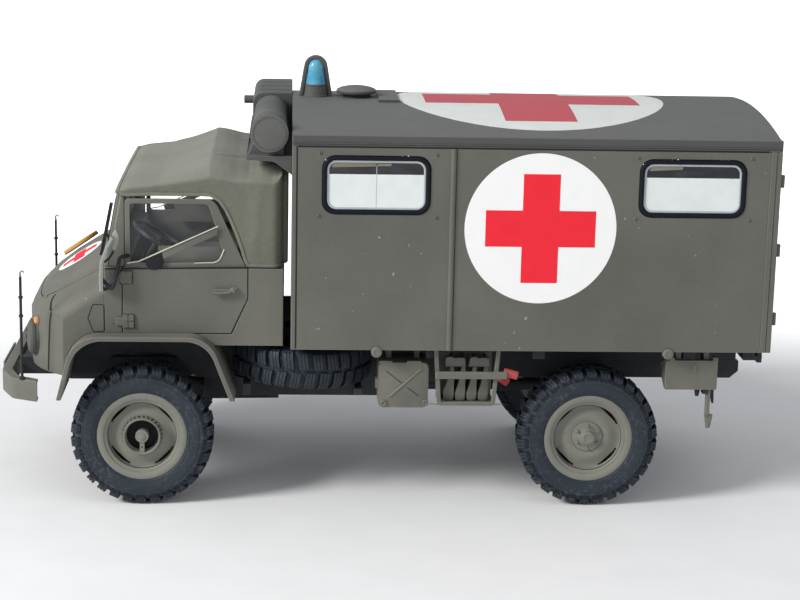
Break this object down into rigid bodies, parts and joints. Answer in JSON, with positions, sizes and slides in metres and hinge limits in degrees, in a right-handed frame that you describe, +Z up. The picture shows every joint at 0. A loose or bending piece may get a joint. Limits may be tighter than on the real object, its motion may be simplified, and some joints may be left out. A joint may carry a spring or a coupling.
{
  "type": "military ambulance truck scale model",
  "caption": "Scale model of a forward-cab military ambulance truck: box body with crosses, canvas-topped cab, under-floor gear and turning wheels.",
  "frame": {"origin": "middle of the overall footprint, on the ground plane that the tyres stand on", "axes": "+X towards the front of the truck, +Y to its left-hand side, +Z up"},
  "size_m": [0.1438, 0.0622, 0.0811],
  "materials": {
    "tyre": "satin rubber",
    "olive_paint": "flat, dusty",
    "roof_paint": "flat, dusty",
    "dark_paint": "flat",
    "canvas": "flat, moulded as cloth",
    "seat_cover": "flat",
    "clear_panes": "clear, part frosted",
    "rubber_seal": "matt",
    "blue_dome": "clear blue",
    "lamp_cover": "flat",
    "red_paint": "satin"
  },
  "bodies": {
    "truck": {"spare_tyre": "tyre", "spare_rim": "olive_paint", "front_bumper": "olive_paint", "left_mudguard": "olive_paint", "right_mudguard": "olive_paint", "nose": "olive_paint", "grille": "olive_paint", "cab_tub": "olive_paint", "left_door": "olive_paint", "right_door": "olive_paint", "windscreen_frame": "olive_paint", "left_box_side": "olive_paint", "right_box_side": "olive_paint", "box_front_wall": "olive_paint", "box_rear_frame": "olive_paint", "rear_door_left": "olive_paint", "rear_door_right": "olive_paint", "beacon_guard": "olive_paint", "roof_fan": "olive_paint", "heater_drum": "olive_paint", "heater_housing": "olive_paint", "storage_box": "olive_paint", "chock_rack": "olive_paint", "wheel_chocks": "olive_paint", "rear_locker": "olive_paint", "mirrors": "olive_paint", "box_roof": "roof_paint", "front_axle": "dark_paint", "rear_axle": "dark_paint", "front_knuckles": "dark_paint", "suspension": "dark_paint", "engine": "dark_paint", "gearbox": "dark_paint", "left_frame_rail": "dark_paint", "right_frame_rail": "dark_paint", "frame_crossmembers": "dark_paint", "box_subframe": "dark_paint", "exhaust": "dark_paint", "marker_poles": "dark_paint", "wipers": "dark_paint", "dashboard": "dark_paint", "box_floor": "dark_paint", "canvas_top": "canvas", "seats": "seat_cover", "cab_windows": "clear_panes", "window_panes": "clear_panes", "window_seals": "rubber_seal", "beacon_dome": "blue_dome", "front_lamps": "lamp_cover", "rear_lamps": "lamp_cover", "red_cylinders": "red_paint"},
    "front_left_wheel": {"front_left_tyre": "tyre", "front_left_rim": "olive_paint"},
    "front_right_wheel": {"front_right_tyre": "tyre", "front_right_rim": "olive_paint"},
    "rear_left_wheel": {"rear_left_tyre": "tyre", "rear_left_rim": "olive_paint"},
    "rear_right_wheel": {"rear_right_tyre": "tyre", "rear_right_rim": "olive_paint"}
  },
  "joints": [
    {"name": "front_left_roll", "type": "hinge", "parent": "truck", "child": "front_left_wheel", "pos_m": [0.04413, 0.0233, 0.01316], "axis": [0, 1, 0], "continuous": true},
    {"name": "front_right_roll", "type": "hinge", "parent": "truck", "child": "front_right_wheel", "pos_m": [0.04413, -0.0233, 0.01316], "axis": [0, 1, 0], "continuous": true},
    {"name": "rear_left_roll", "type": "hinge", "parent": "truck", "child": "rear_left_wheel", "pos_m": [-0.03873, 0.0233, 0.01316], "axis": [0, 1, 0], "continuous": true},
    {"name": "rear_right_roll", "type": "hinge", "parent": "truck", "child": "rear_right_wheel", "pos_m": [-0.03873, -0.0233, 0.01316], "axis": [0, 1, 0], "continuous": true}
  ]
}
